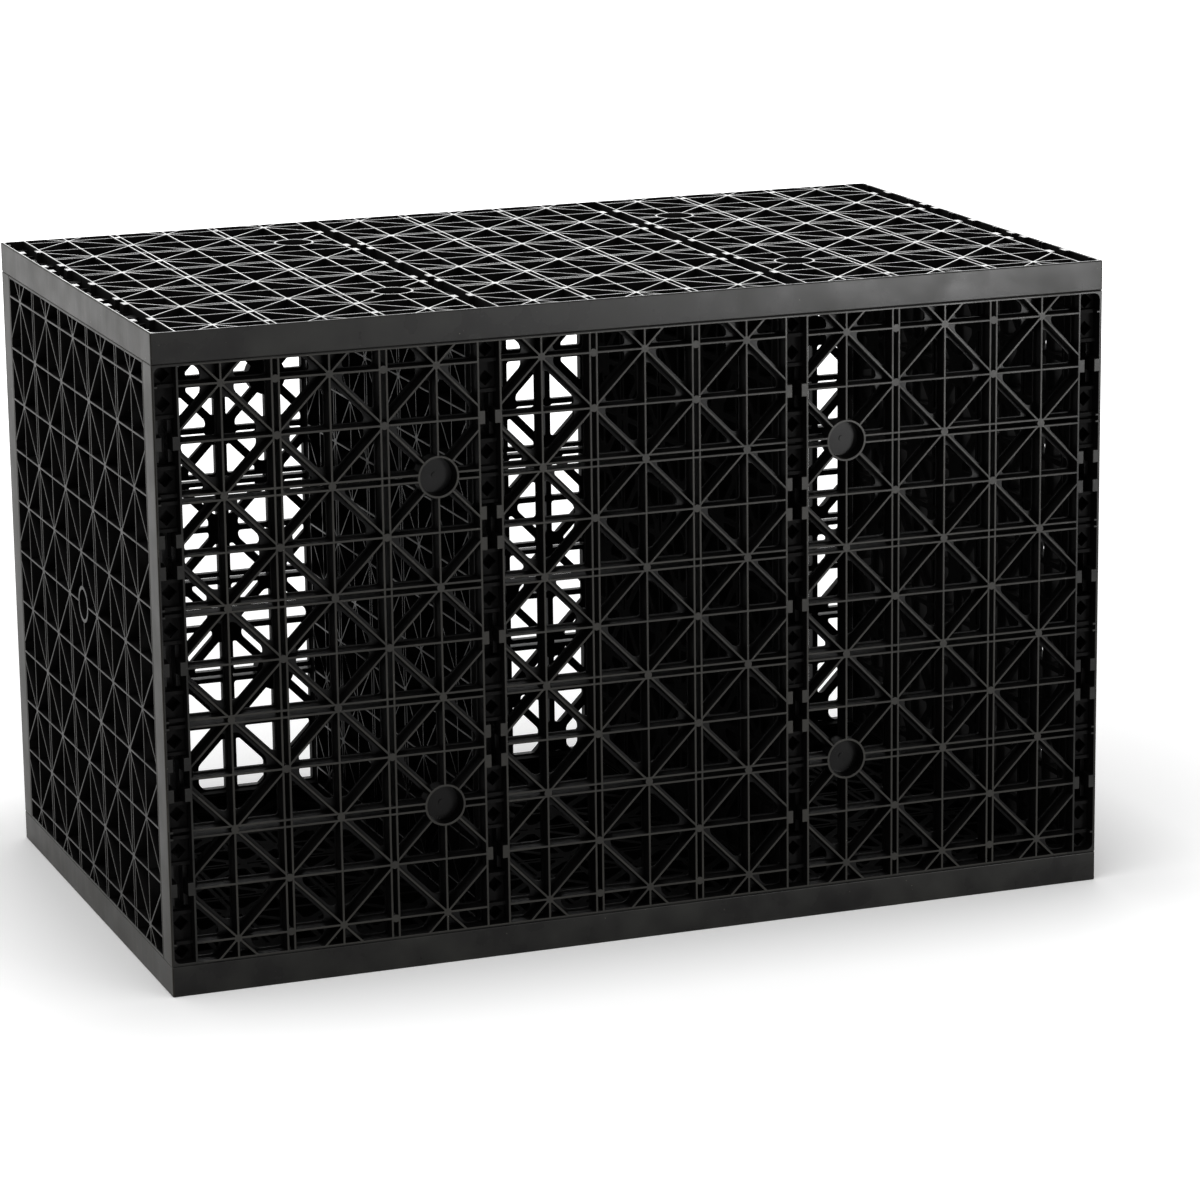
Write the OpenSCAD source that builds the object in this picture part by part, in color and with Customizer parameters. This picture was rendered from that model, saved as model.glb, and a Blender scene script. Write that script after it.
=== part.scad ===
// Soakaway crate: an open box of lattice plates that holds stormwater underground.
// Four large plates of one mould make the top, bottom, front and back. Four cross plates of
// a second mould stand between them: one at each end and two inside.
// X runs along the length, the front faces -Y, and the origin is the centre of the footprint.

/* [Lattice] */
// Distance between lattice columns along the length of a large plate
col_pitch = 37; // [32:0.5:44]
// Distance between lattice rows, and between the columns of a cross plate
row_pitch = 37.8; // [34:0.1:44]
// Lattice columns from one cross plate to the next, an even number
bay_cols = 6; // [4:2:8]
// Compartments along the length
bays = 3; // [2:1:4]
// Lattice rows after the first one, an even number
row_count = 10; // [6:2:12]
// First column to the end of a large plate, which is half the thickness of a cross plate
end_margin = 9.5; // [9:0.1:12]
// First row to the long edge of a plate
edge_margin = 15; // [12:0.5:18]

/* [Plates] */
// Depth of the rim and of the slot walls of a large plate
plate_t = 21; // [18:0.5:26]
// Thickness of a lattice rib
rib_t = 2.4; // [1.6:0.1:3]
// Thickness of the rim wall
rim_t = 2.4; // [1.6:0.1:3]
// Inner radius at the corners of a large plate
corner_r = 4; // [2:0.5:6]
// Centre to centre of the two ribs of a double column or row
pair_pitch = 4.8; // [4.2:0.1:6]
// Solid radius at the centre of a star or boss that lies on a double rib
hub_r = 3.2; // [2.6:0.1:4]

/* [Slots] */
// Centre of a slot to the centre of its side wall
slot_half = 7.8; // [7:0.1:8.2]
// Length of an open slot, centred on an odd row
slot_len = 31.6; // [29:0.2:33]
// Depth of the pads between the slots
pad_depth = 9; // [6:0.5:12]
// Thickness of the pads, whose back is flush with the back of the ribs
pad_t = 2.5; // [1.5:0.1:3]
// Depth of the row ribs below the outer face where they cross a slot strip
strip_drop = 4.5; // [2:0.5:5.5]
// Distance across the corners of the diamond hole in a pad
diamond_w = 10.8; // [8:0.2:11]
// Length of a stop tab along its slot
tab_len = 10; // [6:0.5:12]
// Reach of a stop tab into its slot
tab_reach = 3.6; // [2:0.1:4.4]
// Distance between the two pairs of tabs of a slot that has two pairs
tab_pitch = 21; // [14:0.5:21]

/* [Gate cups] */
// Outer diameter of the cup about each point where the mould was filled
cup_d = 29; // [24:0.5:32]
// Wall of a gate cup
cup_wall = 2.4; // [1.6:0.1:3]
// Thickness of the floor of a gate cup, which is flush with the back of the ribs
cup_floor = 2.5; // [1.5:0.1:4]
// Columns from an end of the lattice to the nearer cups, an odd number
cup_col = 5; // [3:2:5]
// Rows from an edge of the lattice to the nearer cups, an even number
cup_row = 2; // [2:2:4]

/* [Cross plates] */
// Depth of the lattice of a cross plate, whose rim is deeper
cross_rib_depth = 16; // [10:0.5:18]
// Outer diameter of the ring at the middle of a cross plate
ring_d = 26; // [20:0.5:30]
// Wall of the ring
ring_wall = 2.4; // [1.6:0.1:3]
// Width of a lug along its slot
lug_w = 28; // [20:0.5:30]
// Clearance of a lug to the walls of its slot and to the stop tabs
lug_gap = 0.4; // [0.2:0.1:0.8]

/* [Hidden] */

$fn = 64;
cut = 1;
tint = "#353432";

last_col = bays * bay_cols;
plate_l = last_col * col_pitch + 2 * end_margin;
plate_w = row_count * row_pitch + 2 * edge_margin;
crate_h = plate_w + 2 * plate_t;
rib_depth = pad_depth + pad_t;
slit_w = pair_pitch - rib_t;

cross_t = 2 * end_margin;
cross_w = plate_w - 2 * plate_t;
lug_len = plate_t - rib_depth - lug_gap;
lug_t = 2 * (slot_half - rib_t / 2 - lug_gap);

function is_odd(n) = abs(n) % 2 == 1;

function col_x(i) = end_margin + i * col_pitch;

function row_y(j) = edge_margin + j * row_pitch;

function cross_x(i) = row_y(i) - plate_t;

function on_slot(i) = i % bay_cols == 0;

// A lattice line is [centre, where its solid begins, where its solid ends]
function line(centre, half) = [centre, centre - half, centre + half];

function rib_line(centre, double) = line(centre, (double ? pair_pitch + rib_t : rib_t) / 2);

function col_line(i) =
    on_slot(i) ? line(col_x(i), slot_half + rib_t / 2) : rib_line(col_x(i), !is_odd(i));

function row_line(j, double) =
    j < 0 ? [row_y(j), 0, rim_t] :
    j > row_count ? [row_y(j), plate_w - rim_t, plate_w] : rib_line(row_y(j), double);

function cross_line(i) =
    i == 0 ? [cross_x(0), 0, rim_t] :
    i == row_count ? [cross_x(i), cross_w - rim_t, cross_w] : rib_line(cross_x(i), !is_odd(i));

// The row lists start one row outside the plate, so row j is entry j + 1
large_cols = [for (i = [0 : last_col]) col_line(i)];
large_rows = [for (j = [-1 : row_count + 1]) row_line(j, !is_odd(j) && j > 0 && j < row_count)];
cross_cols = [for (i = [0 : row_count]) cross_line(i)];
cross_rows = [for (j = [-1 : row_count + 1]) row_line(j, false)];

// Columns with two ribs
large_pairs = [for (i = [2 : 2 : last_col - 2]) if (!on_slot(i)) i];
cross_pairs = [for (i = [2 : 2 : row_count - 2]) i];

// The part of a convex outline on the side of a line that its normal n points to
function clipped(outline, n, offset) = [
    for (k = [0 : len(outline) - 1])
        let (a = outline[k], b = outline[(k + 1) % len(outline)])
        let (da = n * a - offset, db = n * b - offset)
        each concat(da >= 0 ? [a] : [], da * db < 0 ? [a + (b - a) * da / (da - db)] : [])
];

// Outline of the opening on one side of the diagonal rib that crosses a cell
function opening(left, right, low, high, rising, side) =
    let (p = [rising ? left[0] : right[0], low[0]])
    let (q = [rising ? right[0] : left[0], high[0]])
    let (along = (q - p) / norm(q - p))
    let (n = side * [-along.y, along.x])
    let (cell = [[left[2], low[2]], [right[1], low[2]], [right[1], high[1]], [left[2], high[1]]])
    clipped(cell, n, n * p + rib_t / 2);

// A diagonal joins the two corners of its cell whose column and row add up to an odd number,
// so eight ribs meet in a star there
module lattice_openings(cols, rows) {
    for (i = [0 : len(cols) - 2], r = [0 : len(rows) - 2], side = [-1, 1]) {
        outline = opening(cols[i], cols[i + 1], rows[r], rows[r + 1], is_odd(i + r - 1), side);
        if (len(outline) > 2) polygon(outline);
    }
}

// Where the solid of a line ends and the next one's starts, with a hub taken in
function solid_end(entry, hub) = hub ? max(entry[2], entry[0] + hub_r) : entry[2];

function solid_start(entry, hub) = hub ? min(entry[1], entry[0] - hub_r) : entry[1];

function in_list(value, list) = len([for (entry = list) if (entry == value) entry]) > 0;

// Gaps between the two ribs of the double columns, with bosses on the rows in boss_rows
module column_slits(pairs, cols, rows, boss_rows) {
    for (i = pairs, r = [0 : len(rows) - 2]) {
        low = solid_end(rows[r], is_odd(i + r - 1) || in_list(r - 1, boss_rows));
        high = solid_start(rows[r + 1], is_odd(i + r) || in_list(r, boss_rows));
        translate([cols[i][0] - slit_w / 2, low]) square([slit_w, high - low]);
    }
}

// Gaps between the two ribs of the double rows
module row_slits() {
    for (j = [2 : 2 : row_count - 2], i = [0 : last_col - 1]) {
        from = solid_end(large_cols[i], is_odd(i));
        to = solid_start(large_cols[i + 1], is_odd(i + 1));
        translate([from, row_y(j) - slit_w / 2]) square([to - from, slit_w]);
    }
}

// The room between the walls of the slot line at column i
function slot_from(i) = i == 0 ? rim_t : col_x(i) - slot_half + rib_t / 2;

function slot_to(i) = i == last_col ? plate_l - rim_t : col_x(i) + slot_half - rib_t / 2;

module slot_span(i, low, length) {
    translate([slot_from(i), low]) square([slot_to(i) - slot_from(i), length]);
}

// Stop tabs on both walls of each slot: one pair, or two pairs on every second slot
module stop_tabs() {
    for (i = [0 : bay_cols : last_col], j = [1 : 2 : row_count - 1]) {
        for (shift = j % 4 == 3 ? [-tab_pitch / 2, tab_pitch / 2] : [0]) {
            for (x = [slot_from(i), slot_to(i) - tab_reach]) {
                translate([x, row_y(j) + shift - tab_len / 2]) square([tab_reach, tab_len]);
            }
        }
    }
}

module open_slots() {
    difference() {
        for (i = [0 : bay_cols : last_col], j = [1 : 2 : row_count - 1]) {
            slot_span(i, row_y(j) - slot_len / 2, slot_len);
        }
        stop_tabs();
    }
}

module diamond_at(i, y, across) {
    translate([(slot_from(i) + slot_to(i)) / 2, y])
        rotate(45) square(across / sqrt(2), center = true);
}

// Diamond holes in the pads between the slot on an odd row and the even rows beside it, and
// in the short pads between the end rows and the rim, where they are no wider than the pad
module pad_holes() {
    reach = (slot_len / 2 + row_pitch - pair_pitch / 2 - rib_t / 2) / 2;
    end_pad = large_rows[1][1] - rim_t;
    for (i = [0 : bay_cols : last_col], side = [-1, 1]) {
        for (j = [1 : 2 : row_count - 1]) diamond_at(i, row_y(j) + side * reach, diamond_w);
        end_y = (plate_w + side * (plate_w - 2 * rim_t - end_pad)) / 2;
        diamond_at(i, end_y, min(diamond_w, end_pad));
    }
}

// Recesses over the pads, from each even row to the next and from the end rows to the rim
module pad_recesses() {
    difference() {
        for (i = [0 : bay_cols : last_col], r = [0 : row_count / 2 + 1]) {
            below = large_rows[max(2 * r - 1, 0)];
            above = large_rows[min(2 * r + 1, row_count + 2)];
            slot_span(i, below[2], above[1] - below[2]);
        }
        stop_tabs();
        corner_fillets();
    }
}

// Room over the row ribs that cross the slot strips
module strip_channels() {
    difference() {
        for (i = [0 : bay_cols : last_col]) slot_span(i, rim_t, plate_w - 2 * rim_t);
        stop_tabs();
        corner_fillets();
    }
}

module corner_fillets() {
    for (x = [0, 1], y = [0, 1]) {
        translate([x * plate_l, y * plate_w]) mirror([x, 0]) mirror([0, y])
            translate([rim_t, rim_t]) difference() {
                square(corner_r);
                translate([corner_r, corner_r]) circle(corner_r);
            }
    }
}

// Rim and slot walls, which are deeper than the lattice
module frame() {
    inner = [plate_l - 2 * rim_t, plate_w - 2 * rim_t];
    difference() {
        square([plate_l, plate_w]);
        translate([rim_t, rim_t]) square(inner);
    }
    corner_fillets();
    for (i = [0 : bay_cols : last_col], side = [-1, 1]) {
        if (i + side > 0 && i + side < last_col) {
            translate([col_x(i) + side * slot_half - rib_t / 2, rim_t]) square([rib_t, inner.y]);
        }
    }
}

module at_cups() {
    for (x = [col_x(cup_col), col_x(last_col - cup_col)]) {
        for (y = [row_y(cup_row), row_y(row_count - cup_row)]) {
            translate([x, y]) children();
        }
    }
}

module large_face() {
    difference() {
        square([plate_l, plate_w]);
        lattice_openings(large_cols, large_rows);
        column_slits(large_pairs, large_cols, large_rows, [0, row_count]);
        row_slits();
        open_slots();
        pad_holes();
    }
    at_cups() circle(d = cup_d);
}

// A large plate lies with its outer face at z = 0 and its depth along +Z
module large_plate() {
    difference() {
        union() {
            linear_extrude(rib_depth) large_face();
            translate([0, 0, rib_depth]) linear_extrude(plate_t - rib_depth) frame();
        }
        translate([0, 0, -cut]) linear_extrude(pad_depth + cut) pad_recesses();
        translate([0, 0, -cut]) linear_extrude(strip_drop + cut) strip_channels();
        translate([0, 0, -cut]) linear_extrude(rib_depth - cup_floor + cut)
            at_cups() circle(d = cup_d - 2 * cup_wall);
    }
}

module cross_face() {
    middle = [cross_w / 2, plate_w / 2];
    difference() {
        union() {
            difference() {
                square([cross_w, plate_w]);
                lattice_openings(cross_cols, cross_rows);
                column_slits(cross_pairs, cross_cols, cross_rows, []);
            }
            translate(middle) circle(d = ring_d);
        }
        translate(middle) circle(d = ring_d - 2 * ring_wall);
    }
}

// A lug reaches along +X from the rim into a slot of the large plate that it meets
module lug() {
    translate([lug_len / 2, 0, cross_t / 2]) cube([lug_len, lug_w, lug_t], center = true);
}

module cross_rim() {
    difference() {
        square([cross_w, plate_w]);
        translate([rim_t, rim_t]) square([cross_w - 2 * rim_t, plate_w - 2 * rim_t]);
    }
}

// A cross plate lies with its outer face at z = 0, its thickness along +Z and its columns
// along X. Its rim is deeper than its lattice.
module cross_plate() {
    linear_extrude(cross_rib_depth) cross_face();
    linear_extrude(cross_t) cross_rim();
    for (j = [1 : 2 : row_count - 1]) {
        translate([cross_w, row_y(j), 0]) lug();
        translate([0, row_y(j), 0]) rotate(180) lug();
        translate([cross_x(j), plate_w, 0]) rotate(90) lug();
        translate([cross_x(j), 0, 0]) rotate(-90) lug();
    }
}

// The outer faces of the left plates face -X, and the right plates are their mirror images
module cross_plate_at(column) {
    color(tint) translate([col_x(column) - (plate_l + cross_t) / 2, -cross_w / 2, plate_t])
        rotate([90, 0, 90]) cross_plate();
}

module bottom_plate() {
    color(tint) translate([-plate_l / 2, -plate_w / 2, 0]) large_plate();
}

module top_plate() {
    color(tint) translate([-plate_l / 2, plate_w / 2, crate_h]) rotate([180, 0, 0]) large_plate();
}

module front_plate() {
    color(tint) translate([-plate_l / 2, -plate_w / 2, crate_h - plate_t])
        rotate([-90, 0, 0]) large_plate();
}

module back_plate() {
    color(tint) translate([-plate_l / 2, plate_w / 2, plate_t]) rotate([90, 0, 0]) large_plate();
}

module left_end_plate() {
    cross_plate_at(0);
}

module left_inner_plate() {
    cross_plate_at(bay_cols);
}

module right_inner_plate() {
    mirror([1, 0, 0]) cross_plate_at(bay_cols);
}

module right_end_plate() {
    mirror([1, 0, 0]) cross_plate_at(0);
}

bottom_plate();
top_plate();
front_plate();
back_plate();
left_end_plate();
left_inner_plate();
right_inner_plate();
right_end_plate();
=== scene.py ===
"""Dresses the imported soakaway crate: moulded lattice plates, their plastic, and a plain studio."""

from collections import namedtuple
from math import pi, radians

import bmesh
import bpy
from bpy.props import FloatProperty, IntProperty, PointerProperty, StringProperty
from mathutils import Matrix, Vector


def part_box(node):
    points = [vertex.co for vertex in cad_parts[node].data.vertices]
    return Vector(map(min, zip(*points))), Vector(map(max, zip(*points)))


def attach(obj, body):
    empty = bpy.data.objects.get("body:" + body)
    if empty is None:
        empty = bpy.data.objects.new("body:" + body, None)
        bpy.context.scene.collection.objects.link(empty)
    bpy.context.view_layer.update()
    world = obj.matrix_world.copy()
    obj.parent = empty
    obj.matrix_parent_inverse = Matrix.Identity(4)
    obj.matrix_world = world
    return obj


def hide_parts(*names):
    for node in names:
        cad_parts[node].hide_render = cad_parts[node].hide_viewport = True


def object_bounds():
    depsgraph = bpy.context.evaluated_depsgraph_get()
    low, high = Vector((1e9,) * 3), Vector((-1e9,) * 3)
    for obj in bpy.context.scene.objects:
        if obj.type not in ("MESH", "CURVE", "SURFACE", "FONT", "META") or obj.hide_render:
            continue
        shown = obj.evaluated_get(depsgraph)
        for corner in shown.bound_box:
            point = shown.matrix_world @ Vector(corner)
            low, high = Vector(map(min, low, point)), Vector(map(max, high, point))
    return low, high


bl_info = {
    "name": "Soakaway crate",
    "version": (1, 0, 0),
    "blender": (4, 5, 0),
    "location": "3D View > Sidebar > Crate",
    "description": "Moulded lattice plates of a soakaway crate, their plastic and a studio",
    "category": "Add Mesh",
}

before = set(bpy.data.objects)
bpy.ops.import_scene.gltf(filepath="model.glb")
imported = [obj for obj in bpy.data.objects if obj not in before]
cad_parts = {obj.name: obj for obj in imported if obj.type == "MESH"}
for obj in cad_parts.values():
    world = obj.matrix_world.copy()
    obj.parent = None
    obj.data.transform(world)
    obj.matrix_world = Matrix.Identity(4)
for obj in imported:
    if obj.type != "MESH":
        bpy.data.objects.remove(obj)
CAD_BOX = [list(corner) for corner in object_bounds()]

MM = 0.001
NEAR = 0.01 * MM
ORIGIN = (0, 0, 0)

# The crate's box, the box of one large plate, and the thickness of a cross plate
CRATE_SIZE = Vector(CAD_BOX[1]) - Vector(CAD_BOX[0])
PLATE_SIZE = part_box("top_plate")[1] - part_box("top_plate")[0]
CROSS_T = (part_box("left_inner_plate")[1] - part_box("left_inner_plate")[0]).x

# Lattice lines are counted from the middle of a plate, where line 0 runs. Every sixth column of a
# large plate is a slot strip, and its gate cups stand where a column and a row cross.
LAST_COLUMN = 9
FIRST_SLOT = 3
LAST_ROW = 5
CUP_COLUMN, CUP_ROW = 4, 3

# Corners of a round boss, and how far a gate cup reaches into the ribs that it is joined to
BOSS_SIDES = 16
CUP_OVERLAP = 0.5 * MM

# A face is square to an axis if its normal's part along it is over the first, and runs along the
# axis if that is under the second. Two faces are one flat if their normals' product is over FLAT.
SQUARE, ALONG = 0.9, 0.2
FLAT = 0.9999

# Material slots of the finishes that some faces have in place of the moulded one. The rubbed one
# also gives the crests a lighter colour, partly wear and partly a painted highlight.
RUBBED_AND_HIGHLIT, SATIN = 1, 2

# Polypropylene, the depth of its grain, the size of its mottle in millimetres, and the middle of
# a noise, where most of its values lie
PLASTIC_IOR = 1.49
GRAIN_DEPTH = 0.05 * MM
MOTTLE = 30
MIDDLE = (0.3, 0.7)

# Sockets of a Mix node that mixes colours
MIX_FACTOR, MIX_BASE, MIX_OVER, MIX_COLOUR = 0, 6, 7, 2

# The studio in metres, watts and degrees. The floor's glow rises from the first to the second
# distance off the crate, near it and again far off, so that under and beside the crate the floor
# is darker: a painted shade.
WHITE = (1, 1, 1, 1)
LIGHT_LEVEL = 0.55
NEAR_PAINTED_SHADE = (0, 0.12)
FAR_FLOOR = (0.6, 2.2)
SOFTBOXES = (
    # Name, place, aim, width and height, power
    ("softbox_front", (1.4, -2.6, 0.14), (0.25, 0, 0.4), (0.6, 0.22), 28),
    ("softbox_key", (-0.9, -0.9, 3.4), ORIGIN, (3.2, 3.2), 60),
    ("softbox_back", (1.6, 4.4, 1.5), (0, 0, 0.4), (3.2, 1.4), 60),
)
CAMERA_PLACE = (-1.0930, -3.0157, 0.9698)
CAMERA_TURN, CAMERA_DOWN, CAMERA_ROLL = -20.628, 13.592, -0.720
CAMERA_LENS = 136.71


def size_property(name, description, millimetres):
    return FloatProperty(
        name=name,
        description=description,
        default=millimetres * MM,
        min=0.0,
        precision=4,
        unit="LENGTH",
        subtype="DISTANCE",
    )


class CrateLattice(bpy.types.PropertyGroup):
    """Sizes of the ribs and the web that every plate has"""

    col_pitch: size_property("Column pitch", "Between lattice columns of a large plate", 37.0)
    row_pitch: size_property("Row pitch", "Between lattice rows", 37.8)
    rib_t: size_property("Rib thickness", "Thickness of a lattice rib", 2.4)
    rim_t: size_property("Rim thickness", "Thickness of the rim wall", 2.4)
    pair_pitch: size_property("Pair pitch", "Between the two ribs of a double line", 4.8)
    rib_h: size_property("Rib height", "From the web of a large plate to its outer face", 9.0)
    cross_rib_h: size_property("Cross rib height", "The same in a cross plate", 13.5)
    web_t: size_property("Web thickness", "Thickness of the web behind the ribs", 2.5)
    flange: size_property("Flange", "Reach of the web beside a column or row rib", 0.8)
    diagonal_flange: size_property("Diagonal flange", "Reach of the web beside a diagonal", 1.8)
    tip_cut: size_property("Tip cut", "From a star to the openings in the web about it", 11.3)
    boss_d: size_property("Boss diameter", "Round boss on each star of the ribs", 5.4)
    hole_round: size_property("Hole rounding", "At the corners of an opening in the web", 2.0)
    draft: size_property("Draft", "How far a rib's wall leans in by the outer face", 0.5)
    rib_edge: size_property("Rib edge", "Bevel along the outer edges of the ribs", 0.22)
    rim_edge: size_property("Rim edge", "Rounding along the outer edges of the rim", 0.8)
    corner_r: size_property("Corner radius", "Fillet inside the corners of a large plate", 4.0)


class CrateSockets(bpy.types.PropertyGroup):
    """Sizes of the slot strips, the gate cups, the snap fingers and the rings"""

    slot_half: size_property("Slot half width", "Slot centre to the centre of its wall", 7.8)
    slot_len: size_property("Slot length", "Length of an open slot", 31.6)
    tab_len: size_property("Tab length", "Length of a stop tab", 10.0)
    tab_reach: size_property("Tab reach", "Reach of a stop tab into its slot", 3.6)
    tab_pitch: size_property("Tab pitch", "Between the two pairs of tabs of a slot", 21.0)
    strip_drop: size_property("Strip drop", "How deep the row ribs lie in a slot strip", 4.5)
    nub: size_property("Nub", "Full height end of a row rib beside the rim", 2.0)
    ridge_h: size_property("Ridge height", "Height of the ridge at the slot end of a pad", 3.0)
    diamond: size_property("Diamond", "Across the corners of the diamond in a pad", 10.8)
    cup_d: size_property("Cup diameter", "Outer diameter of a gate cup", 29.0)
    cup_wall: size_property("Cup wall", "Crest thickness of a gate cup", 1.5)
    cup_slope: size_property("Cup slope", "How far a cup's inner wall slopes in", 1.0)
    gate_d: size_property("Gate diameter", "Diameter of the gate mark in a cup", 4.0)
    gate_h: size_property("Gate height", "Height of the gate mark in a cup", 0.6)
    finger_w: size_property("Finger width", "Width of a snap finger along its slot", 28.0)
    finger_t: size_property("Finger thickness", "Thickness of one snap finger", 3.0)
    finger_span: size_property("Finger span", "Across a pair of snap fingers", 12.4)
    finger_len: size_property("Finger length", "Reach of a snap finger", 9.1)
    ring_d: size_property("Ring diameter", "Outer diameter of the ring of a cross plate", 26.0)
    ring_wall: size_property("Ring wall", "Wall thickness of that ring", 2.4)


class CrateFinish(bpy.types.PropertyGroup):
    """Colours as sRGB hex values, the glow of the floor, and the roughness of the plastic"""

    plastic: StringProperty(name="Plastic", description="Moulded plastic", default="#0b0a0a")
    shade: StringProperty(name="Shade", description="Its blacker patches", default="#000000")
    # The crest colour is partly wear and partly a painted highlight where the light catches the
    # crests
    crest: StringProperty(name="Crests", description="Rubbed crests of the ribs", default="#2f2e2b")
    rim: StringProperty(name="Rims", description="Handled rims of the plates", default="#100f0f")
    scuff: StringProperty(name="Scuffs", description="Paler patches of the rims", default="#20201e")
    dust: StringProperty(name="Dust", description="Dust in the streaks on rims", default="#423f39")
    specks: StringProperty(name="Specks", description="Pale specks on rims", default="#9a968c")
    floor: StringProperty(name="Floor", description="Floor, for what it lights", default="#b9b8b6")
    # The floor's glow fades to none beside and under the crate: a painted shade there
    near_glow: FloatProperty(name="Near glow", description="Of the floor by the crate", default=0.24)
    far_glow: FloatProperty(name="Far glow", description="The same, added further off", default=0.6)
    rough_outside: FloatProperty(
        name="Outer roughness", description="Of crests and rims", default=0.28, min=0, max=1
    )
    rough_inside: FloatProperty(
        name="Inner roughness", description="Of all other faces", default=0.6, min=0, max=1
    )
    circle_steps: IntProperty(
        name="Circle steps", description="Sides of a cup or ring", default=40, min=12, max=96
    )


# Choosing and editing


def select_alone(piece):
    bpy.ops.object.select_all(action="DESELECT")
    piece.select_set(True)
    bpy.context.view_layer.objects.active = piece


def start_editing(piece):
    select_alone(piece)
    bpy.ops.object.mode_set(mode="EDIT")


def stop_editing():
    bpy.ops.object.mode_set(mode="OBJECT")


def choose(test, edges=False):
    """Selects the faces, or the edges, that pass test, and says how many there are."""
    bpy.context.tool_settings.mesh_select_mode = (False, edges, not edges)
    bpy.ops.mesh.select_all(action="DESELECT")
    data = bpy.context.edit_object.data
    mesh = bmesh.from_edit_mesh(data)
    chosen = [element for element in (mesh.edges if edges else mesh.faces) if test(element)]
    for element in chosen:
        element.select = True
    mesh.select_flush_mode()
    bmesh.update_edit_mesh(data, loop_triangles=False, destructive=False)
    return len(chosen)


def need(test, edges=False):
    if not choose(test, edges):
        raise RuntimeError("nothing was found to shape")


def score(test, point, normal):
    """Cuts the faces that pass test along the plane through point."""
    if choose(test):
        bpy.ops.mesh.bisect(plane_co=point, plane_no=normal, threshold=0.1 * NEAR)


def score_across(test, axis, place):
    """Cuts the faces that pass test where the axis has the value place."""
    normal = Vector((0, 0, 0))
    normal[axis] = 1
    score(test, place * normal, normal)


def push(move):
    """Extrudes the chosen faces."""
    bpy.ops.mesh.extrude_region_move(TRANSFORM_OT_translate={"value": move})


def extrude(test, move):
    need(test)
    push(move)


def dissolve(test):
    need(test, edges=True)
    bpy.ops.mesh.dissolve_edges(use_verts=True)


def bevel(test, width, segments):
    need(test, edges=True)
    bpy.ops.mesh.bevel(offset=width, segments=segments, profile=0.5, loop_slide=False)


def same(a, b):
    return abs(a - b) < NEAR


def lies_at(element, axis, place):
    """True for an edge or face with every corner at one place along an axis."""
    return all(same(vertex.co[axis], place) for vertex in element.verts)


def on_middle(element):
    """True for an edge or face on a middle line of the plate."""
    return lies_at(element, 0, 0) or lies_at(element, 1, 0)


def in_one_flat(edge):
    """True for an edge between two faces that lie in one plane."""
    faces = edge.link_faces
    return len(faces) == 2 and faces[0].normal.dot(faces[1].normal) > FLAT


def spot(face):
    """Where the middle of a face lies in the plan."""
    return face.calc_center_median().xy


def inside(x_low, x_high, y_low, y_high):
    """A test for faces whose middle lies in a rectangle of the plan."""

    def test(face):
        x, y = spot(face)
        return x_low < x < x_high and y_low < y < y_high

    return test


def both(first, second):
    return lambda element: first(element) and second(element)


# The plan of a plate. Only one quarter is modelled, from the middle of the plate outwards,
# because each plate is its own mirror image about both middle lines.

# A lattice line: its centre, where its solid begins and ends, and its kind
Line = namedtuple("Line", ("centre", "low", "high", "kind"))


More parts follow.
